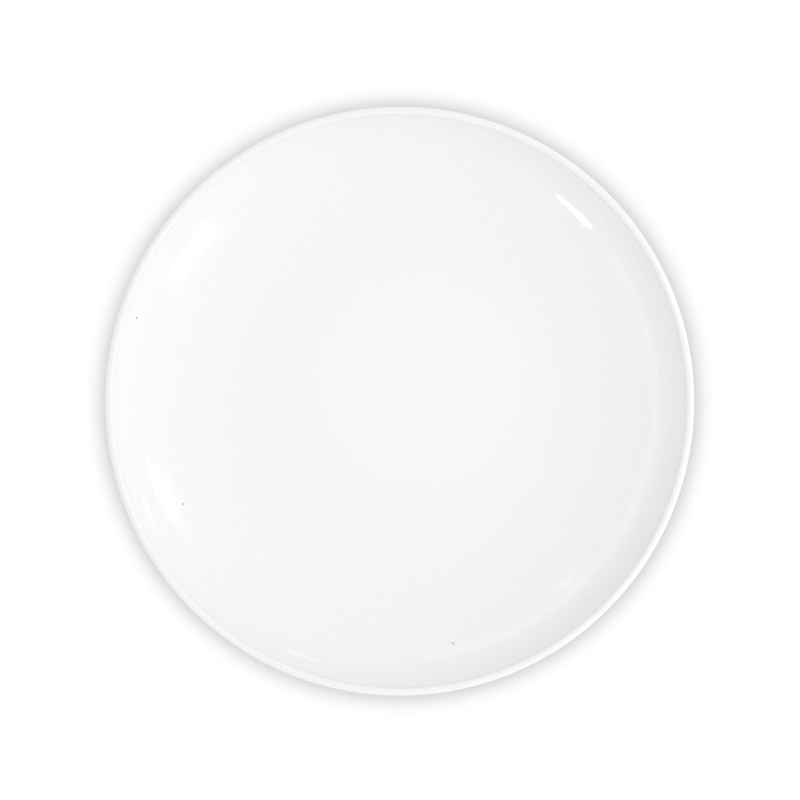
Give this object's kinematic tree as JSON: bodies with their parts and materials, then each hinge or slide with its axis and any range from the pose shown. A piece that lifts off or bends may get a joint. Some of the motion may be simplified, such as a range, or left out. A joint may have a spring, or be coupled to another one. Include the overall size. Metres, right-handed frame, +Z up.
{
  "type": "coupe plate",
  "caption": "Round white porcelain coupe plate with a flat well, a wall that sweeps up to a rounded lip, a glazed surface and a bare foot ring to stand on.",
  "frame": {"origin": "centre of the plate in the plane of the foot's bearing face, the surface that the plate stands on", "axes": "+Z up along the axis of revolution; X and Y lie in the standing plane and are free because the plate is round"},
  "size_m": [0.27, 0.27, 0.026],
  "materials": {
    "biscuit": "unglazed fired porcelain, matte and very finely grained, seen only on the foot's bearing face",
    "glaze": "clear gloss glaze over white porcelain, with faint orange peel and a few tiny dark specks"
  },
  "bodies": {
    "root": {"porcelain_body": "biscuit", "outer_glaze": "glaze", "foot_recess_glaze": "glaze"}
  },
  "joints": []
}
